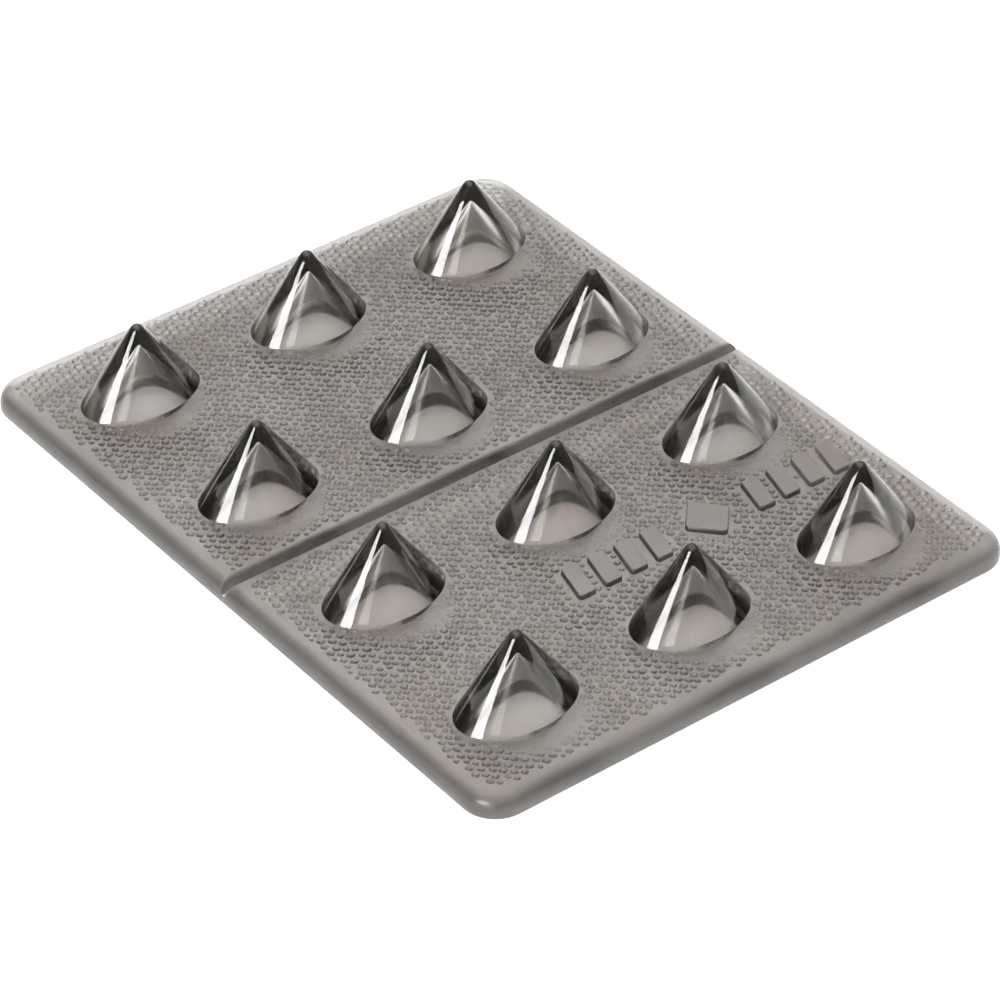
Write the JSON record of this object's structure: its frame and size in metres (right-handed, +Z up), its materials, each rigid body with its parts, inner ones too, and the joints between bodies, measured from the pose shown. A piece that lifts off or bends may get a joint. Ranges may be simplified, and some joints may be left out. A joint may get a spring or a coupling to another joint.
{
  "type": "snowboard stomp pad",
  "caption": "Flexible clear traction mat with cored spike teeth, a flex groove, an adhesive sheet and a split peel-off liner.",
  "frame": {"origin": "centre of the underside, on the liner's lower face", "axes": "+Z up out of the teeth, +Y along the length towards the rear rows, +X to the right along a row of teeth"},
  "size_m": [0.0992, 0.127, 0.0174],
  "materials": {
    "smoke_tpu": "clear smoke thermoplastic polyurethane, gloss teeth on a fine pebbled sheet",
    "clear_adhesive": "milky clear acrylic adhesive sheet",
    "release_paper": "white polyethylene-coated release paper"
  },
  "bodies": {
    "rear_half": {"rear_panel": "smoke_tpu", "hinge_web": "smoke_tpu", "rear_adhesive": "clear_adhesive"},
    "front_half": {"front_panel": "smoke_tpu", "front_adhesive": "clear_adhesive"},
    "rear_backing": {"rear_liner": "release_paper"},
    "front_backing": {"front_liner": "release_paper"}
  },
  "joints": [
    {"name": "fold", "type": "hinge", "parent": "rear_half", "child": "front_half", "pos_m": [0, 0.0001, 0.0018], "axis": [-1, 0, 0], "range_deg": [-30, 45], "stiffness_Nm_per_rad": 1, "deforming": ["hinge_web"]},
    {"name": "rear_peel", "type": "hinge", "parent": "rear_half", "child": "rear_backing", "pos_m": [0, 0.0625, 0.0002], "axis": [1, 0, 0], "range_deg": [0, 110]},
    {"name": "front_peel", "type": "hinge", "parent": "front_half", "child": "front_backing", "pos_m": [0, -0.0625, 0.0002], "axis": [-1, 0, 0], "range_deg": [0, 110]}
  ]
}
